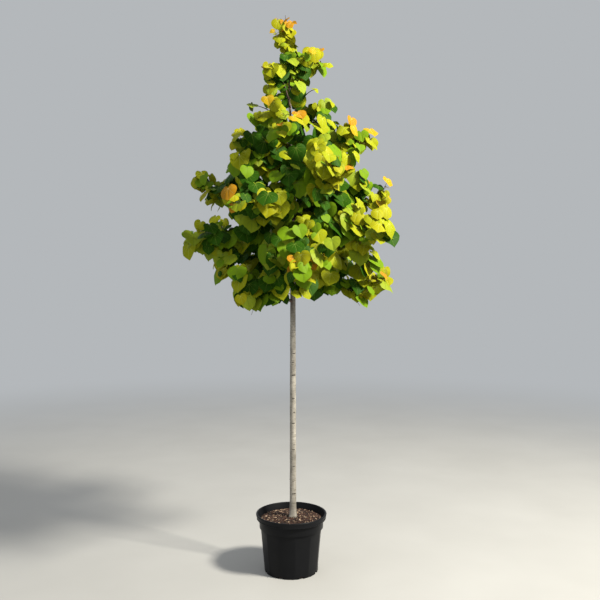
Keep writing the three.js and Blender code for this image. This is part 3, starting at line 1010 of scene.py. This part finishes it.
def make_boughs(stems):
    """Each bough from inside the trunk to its mass's tip, with a collar at its foot."""
    heap = Heap()
    for stem in stems:
        span = stem.line.length()
        count = max(round(span / BOUGH_STEP), 8)
        shares = [step / count for step in range(count + 1)]
        points = [stem.line.point(share) for share in shares]
        swell = COLLAR_SWELL if stem.radius > LEADER_RADIUS else 0
        radii = []
        for share in shares:
            collar = swell * math.exp(-share * span / COLLAR_LENGTH)
            taper = mix(stem.radius, BOUGH_TIP_RADIUS, share**0.8)
            radii.append(taper * (1 + collar))
        add_limb(heap, points, radii, BOUGH_SIDES, twig_relief)
    boughs = heap.piece("boughs", twig_material())
    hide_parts(*[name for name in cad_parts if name.startswith("bough_")])


def twig_relief(turns, point, radius):
    """Knots along a twig, from noise round it."""
    place = Vector(tuple(point)) * 60
    knot = noise.noise(place) * KNOT_SHARE * radius
    return np.full(len(turns), knot)


def make_twigs(twigs, finest, masses):
    heap = Heap()
    for twig in twigs + finest:
        count = max(round(twig.line.length() / TWIG_STEP), 4)
        shares = [step / count for step in range(count + 1)]
        points = [twig.line.point(share) for share in shares]
        radii = [mix(twig.radius, TWIG_TIP_RADIUS, share) for share in shares]
        add_limb(heap, points, radii, TWIG_SIDES, twig_relief)
    piece = heap.piece("twigs", twig_material())
    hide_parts(*masses)


def make_leaves(shoots, masses):
    """The leaves by tint, their veins by slot, and all the stalks."""
    blades = {name: Heap() for name in TINTS}
    veins = {name: Heap() for name in VEIN_COLOURS}
    stalks = Heap()
    for shoot in shoots:
        gold = spray_gold(shoot)
        for leaf in leaves_of(shoot):
            corners = leaf.shaped(BLADE)
            if not is_in_crown(corners) or is_in_gap(leaf.stalk_end) and not leaf.is_last:
                continue
            tint = tint_of(leaf, gold)
            blades[tint].add(corners, BLADE_FACES)
            veins[TINTS[tint][2]].add(leaf.shaped(VEINS), VEIN_FACES)
            add_limb(stalks, leaf.stalk_points(), [PETIOLE_RADIUS] * 4, 4)
    for name, (_, colour, slot) in TINTS.items():
        sheen = FULL_SHEEN if name == SHINY_TINT else LOW_SHEEN
        material = leaf_material("leaf_" + name, colour, sheen)
        piece = blades[name].piece("leaves_" + name, material)
        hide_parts(*masses)
    for slot, heap in veins.items():
        piece = heap.piece("veins_" + slot, leaf_material("vein_" + slot, VEIN_COLOURS[slot]))
        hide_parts(*masses)
    piece = stalks.piece("leaf_stalks", stalk_material())
    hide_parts(*masses)


# The pot and what fills it


def pot_profile():
    """The pot's section from the middle of its underside, up outside and down inside."""
    outside = [
        (0.0, 0.0),
        (FOOT_RADIUS * 0.5, 0.0),
        (FOOT_RADIUS - FOOT_BEVEL, 0.0),
        (FOOT_RADIUS - 0.001, 0.001),
        (FOOT_RADIUS, FOOT_BEVEL),
    ]
    for row in range(1, WALL_ROWS + 1):
        share = row / WALL_ROWS
        radius = mix(FOOT_RADIUS, WALL_TOP_RADIUS, share)
        outside.append((radius, mix(FOOT_BEVEL, COLLAR_FOOT - 0.002, share)))
    outside += [
        (WALL_TOP_RADIUS - 0.0006, COLLAR_FOOT + 0.0014),
        (WALL_TOP_RADIUS + 0.0062, COLLAR_FOOT - 0.0004),
        (WALL_TOP_RADIUS + 0.0069, COLLAR_FOOT + 0.0018),
        (COLLAR_RADIUS - 0.0004, LIP_FOOT - 0.006),
        (COLLAR_RADIUS - 0.0026, LIP_FOOT - 0.0035),
        (COLLAR_RADIUS - 0.0022, LIP_FOOT + 0.0005),
        (RIM_RADIUS - LIP_SLANT - 0.0004, LIP_FOOT - 0.0006),
        (RIM_RADIUS - LIP_SLANT + 0.0012, LIP_FOOT + 0.0012),
        (RIM_RADIUS - LIP_SLANT + 0.0002, LIP_FOOT + 0.0036),
        (RIM_RADIUS - 0.001, POT_HEIGHT - 0.0115),
    ]
    middle = (RIM_RADIUS - LIP_ROUNDING, POT_HEIGHT - LIP_ROUNDING)
    for step in range(LIP_STEPS + 1):
        turn = mix(-0.3, math.pi * 0.95, step / LIP_STEPS)
        radius = middle[0] + LIP_ROUNDING * math.cos(turn)
        outside.append((radius, middle[1] + LIP_ROUNDING * math.sin(turn)))
    inside = [
        (RIM_RADIUS - 0.0125, POT_HEIGHT - 0.013),
        (COLLAR_RADIUS - 0.004, LIP_FOOT),
        (COLLAR_RADIUS - 0.0045, LIP_FOOT - 0.01),
        (WALL_TOP_RADIUS - 0.0035, COLLAR_FOOT + 0.001),
        (FOOT_RADIUS - WALL_THICKNESS, FLOOR_THICKNESS + 0.003),
        (FOOT_RADIUS - WALL_THICKNESS - 0.003, FLOOR_THICKNESS),
        (0.0, FLOOR_THICKNESS),
    ]
    return outside + inside


def flat_share(height):
    """How deep the flats are at a height: they fade out at both ends of the wall."""
    fade = smoothstep(height, COLLAR_FOOT - FLAT_FADE, COLLAR_FOOT)
    return smoothstep(height, *FLAT_FOOT) * (1 - fade)


def pot_mesh():
    """The profile turned round, with the flats pressed into the rows of the wall."""
    profile = pot_profile()
    sector_turns = np.arange(POT_SECTORS) / POT_SECTORS * math.tau
    turns = sector_turns + FLAT_TURN
    flat_turn = math.tau / FLAT_COUNT
    from_middle = np.mod(sector_turns + 1e-9, flat_turn) - flat_turn / 2
    hollow = 1 - (np.abs(from_middle) / (flat_turn / 2)) ** 2
    corners = []
    for row, (radius, height) in enumerate(profile):
        is_wall = row < FOOT_ROWS + WALL_ROWS
        reach = radius - (FLAT_DEPTH * hollow * flat_share(height) if is_wall else 0)
        ring = np.zeros((POT_SECTORS, 3))
        ring[:, 0] = np.cos(turns) * reach
        ring[:, 1] = np.sin(turns) * reach
        ring[:, 2] = height
        corners.append(ring)
    faces = ring_faces(len(profile), POT_SECTORS)
    mesh = bpy.data.meshes.new("pot_shell")
    mesh.from_pydata(np.vstack(corners).tolist(), [], faces)
    mesh.validate()
    return mesh


def cut_drains(pot):
    """Cuts the drain notches through the foot of the wall."""
    for index in range(DRAIN_COUNT):
        bpy.ops.mesh.primitive_cube_add(size=1)
        cutter = bpy.context.object
        turn = (index + 0.5) / DRAIN_COUNT * math.tau
        cutter.scale = (DRAIN_DEPTH, DRAIN_WIDTH, 2 * DRAIN_HEIGHT)
        cutter.rotation_euler = (0, 0, turn)
        cutter.location = (FOOT_RADIUS * math.cos(turn), FOOT_RADIUS * math.sin(turn), 0)
        cut = pot.modifiers.new("drain", "BOOLEAN")
        cut.operation = "DIFFERENCE"
        cut.solver = "EXACT"
        cut.object = cutter
        bpy.context.view_layer.update()
        depsgraph = bpy.context.evaluated_depsgraph_get()
        shaped = bpy.data.meshes.new_from_object(pot.evaluated_get(depsgraph))
        pot.modifiers.clear()
        pot.data = shaped
        bpy.data.objects.remove(cutter)


def make_pot():
    pot = new_object("pot_shell", pot_mesh())
    weld(pot.data)
    cut_drains(pot)
    pot.data.polygons.foreach_set("use_smooth", [True] * len(pot.data.polygons))
    pot.data.materials.clear()
    pot.data.materials.append(pot_material())
    pot.data.set_sharp_from_angle(angle=SHARP_EDGE)
    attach(pot, "root")
    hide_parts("pot")


def weld(mesh):
    """Joins the corners that lie on each other, as on the axis of a turned shape."""
    shape = bmesh.new()
    shape.from_mesh(mesh)
    bmesh.ops.remove_doubles(shape, verts=shape.verts, dist=1e-6)
    bmesh.ops.recalc_face_normals(shape, faces=shape.faces)
    shape.to_mesh(mesh)
    shape.free()


def wall_inside(height):
    """The inside of the pot's wall, as the frame has it."""
    return mix(FOOT_RADIUS, COLLAR_RADIUS, min(height / LIP_FOOT, 1)) - WALL_THICKNESS


def soil_height(radius):
    return SOIL_HEIGHT - SOIL_DROP * smoothstep(radius, *SOIL_SLOPE)


SOIL_SLOPE = (0.05, 0.17)  # the mix falls away between these radii
SOIL_SIDES = 72
SOIL_RINGS = 16
CHIP_BED = 0.004  # the body of the mix lies this far below its full height
LUMP_SIZE = 0.0025
COMPOST_COLOURS = ((0.012, 0.006, 0.004), (0.05, 0.024, 0.014))


def make_soil():
    """The body of the mix, with a lumpy top, under loose chips of bark."""
    heap = Heap()
    sides = SOIL_SIDES
    edge = wall_inside(SOIL_HEIGHT - SOIL_DROP) - 0.0005
    floor_edge = wall_inside(FLOOR_THICKNESS) - 0.0015
    corners = [(0, 0, FLOOR_THICKNESS + 0.0005), (0, 0, SOIL_HEIGHT - 0.002)]
    rows = [
        (floor_edge, FLOOR_THICKNESS + 0.0005),
        (wall_inside(COLLAR_FOOT) - 0.004, COLLAR_FOOT),
        (edge, SOIL_HEIGHT - SOIL_DROP - CHIP_BED),
    ]
    for ring in range(SOIL_RINGS, 0, -1):
        radius = edge * ring / SOIL_RINGS
        rows.append((radius, soil_height(radius) - CHIP_BED))
    for radius, height in rows:
        for turn in ring_turns(sides):
            x, y = radius * math.cos(turn), radius * math.sin(turn)
            is_top = height > COLLAR_FOOT and radius < edge
            lump = noise.noise(Vector((x, y, 0)) * 60) * LUMP_SIZE if is_top else 0
            corners.append((x, y, height + lump))
    faces = [(a + 2, b + 2, c + 2) for a, b, c in ring_faces(len(rows), sides)]
    last = 2 + (len(rows) - 1) * sides
    for side in range(sides):
        beside = (side + 1) % sides
        faces.append((0, 2 + beside, 2 + side))
        faces.append((1, last + side, last + beside))
    heap.add(corners, faces)
    soil = heap.piece("bark_compost", mulch_material("compost", *COMPOST_COLOURS))
    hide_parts("potting_mix")


CHIP_SEED = 61
# Each kind of chip has a name, a number of chips, a dark and a pale colour.
CHIP_KINDS = (
    ("chips_dark", 3900, (0.01, 0.005, 0.0035), (0.035, 0.015, 0.009)),
    ("chips_red", 2300, (0.032, 0.012, 0.006), (0.1, 0.036, 0.017)),
    ("chips_tan", 520, (0.22, 0.14, 0.085), (0.56, 0.41, 0.28)),
)
CHIP_TILT = 0.55
CHIP_LENGTH = (0.002, 0.0068)  # half of it, the least and the most
CHIP_THICKNESS = (0.0006, 0.0015)  # the same
CHIP_WIDTH = (0.4, 0.75)  # against its length
TAN_SIZE = 0.8
TAN_LIFT = 0.001
WALL_ROOM = 0.01
STEM_ROOM = 0.03  # no chip is nearer the middle


def chip(series, tan):
    """One flat splinter of bark: its eight corners and its faces."""
    long = mix(*CHIP_LENGTH, series.next() ** 2) * (TAN_SIZE if tan else 1)
    wide = long * mix(*CHIP_WIDTH, series.next())
    thick = mix(*CHIP_THICKNESS, series.next())
    radius = math.sqrt(series.next()) * (wall_inside(SOIL_HEIGHT) - WALL_ROOM)
    place = heading(series.next() * 360) * max(radius, STEM_ROOM)
    place.z = soil_height(radius) - 0.002 + series.next() * 0.004 + (TAN_LIFT if tan else 0)
    spin = Quaternion(UP, series.next() * math.tau)
    tilt = Quaternion(heading(series.next() * 360), series.either(CHIP_TILT))
    corners = []
    for x, y, z in CHIP_CORNERS:
        along = x * long * (1 + series.either(0.3))
        across = y * wide * (1 + series.either(0.35))
        rough = Vector((along, across, z * thick))
        corners.append(tuple(place + tilt @ (spin @ rough)))
    return corners, CHIP_FACES


SQUARE = ((-1, -1), (1, -1), (1, 1), (-1, 1))
CHIP_CORNERS = [(x, y, z) for z in (-1, 1) for x, y in SQUARE]
CHIP_FACES = [(0, 2, 1), (0, 3, 2), (4, 5, 6), (4, 6, 7)] + ring_faces(2, 4)


def make_chips():
    """The loose chips on the mix, one piece for each kind."""
    for kind, (name, count, dark, pale) in enumerate(CHIP_KINDS):
        series = Series(CHIP_SEED + kind)
        heap = Heap()
        for _ in range(count):
            heap.add(*chip(series, name == "chips_tan"))
        piece = heap.piece(name, mulch_material(name, dark, pale))
        piece.data.polygons.foreach_set("use_smooth", [False] * len(piece.data.polygons))


# Studio


CAMERA_PLACE = Vector((0.048, -4.1, 1.66))
CAMERA_DROP = 2.3  # in degrees, below level
CAMERA_LENS = 45  # in mm
SENSOR_WIDTH = 36
SKY_COLOUR = (0.88, 0.92, 0.955)
SKY_STRENGTH = 0.52
FLOOR_HALF = 30
FLOOR_FADE = (2.5, 8.0)  # the floor fades into the sky between these distances
LIGHT_TARGET = Vector((0, 0, 1.6))
# Each light has a name, a place, a size, a power and a colour.
LIGHTS = (
    ("key", (3.9, -2.2, 5.3), 1.0, 740, (1, 0.955, 0.84)),
    ("fill", (-3.6, -2.6, 2.6), 3.0, 8, (1, 1, 1)),
    ("back", (-1.6, 3.6, 3.8), 2.5, 30, (1, 1, 1)),
)


def make_floor():
    mesh = bpy.data.meshes.new("floor")
    corners = [(x * FLOOR_HALF, y * FLOOR_HALF, 0) for x, y in SQUARE]
    mesh.from_pydata(corners, [], [(0, 1, 2, 3)])
    mesh.materials.append(floor_material())
    new_object("floor", mesh)


def add_light(name, place, size, power, colour):
    light = bpy.data.lights.new(name, "AREA")
    light.size = size
    light.energy = power
    light.color = colour
    lamp = new_object(name, light)
    lamp.location = place
    lamp.rotation_euler = (LIGHT_TARGET - Vector(place)).to_track_quat("-Z", "Y").to_euler()


def make_studio():
    make_floor()
    for light in LIGHTS:
        add_light(*light)
    world = bpy.data.worlds.new("studio")
    world.use_nodes = True
    background = world.node_tree.nodes["Background"]
    background.inputs["Color"].default_value = (*SKY_COLOUR, 1)
    background.inputs["Strength"].default_value = SKY_STRENGTH
    bpy.context.scene.world = world
    bpy.context.scene.view_settings.view_transform = "Standard"


def make_camera():
    camera = bpy.data.cameras.new("camera")
    camera.lens = CAMERA_LENS
    camera.sensor_width = SENSOR_WIDTH
    camera.clip_end = 200
    holder = new_object("camera", camera)
    holder.location = CAMERA_PLACE
    holder.rotation_euler = (math.radians(90 - CAMERA_DROP), 0, 0)
    bpy.context.scene.camera = holder


make_camera()
make_studio()
foliage = [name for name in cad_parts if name.startswith("foliage_")]
stems, twigs, finest = all_shoots()
make_trunk()
make_scars()
make_boughs(stems)
make_twigs(twigs, finest, foliage)
make_leaves(stems + twigs + finest, foliage)
make_pot()
make_soil()
make_chips()
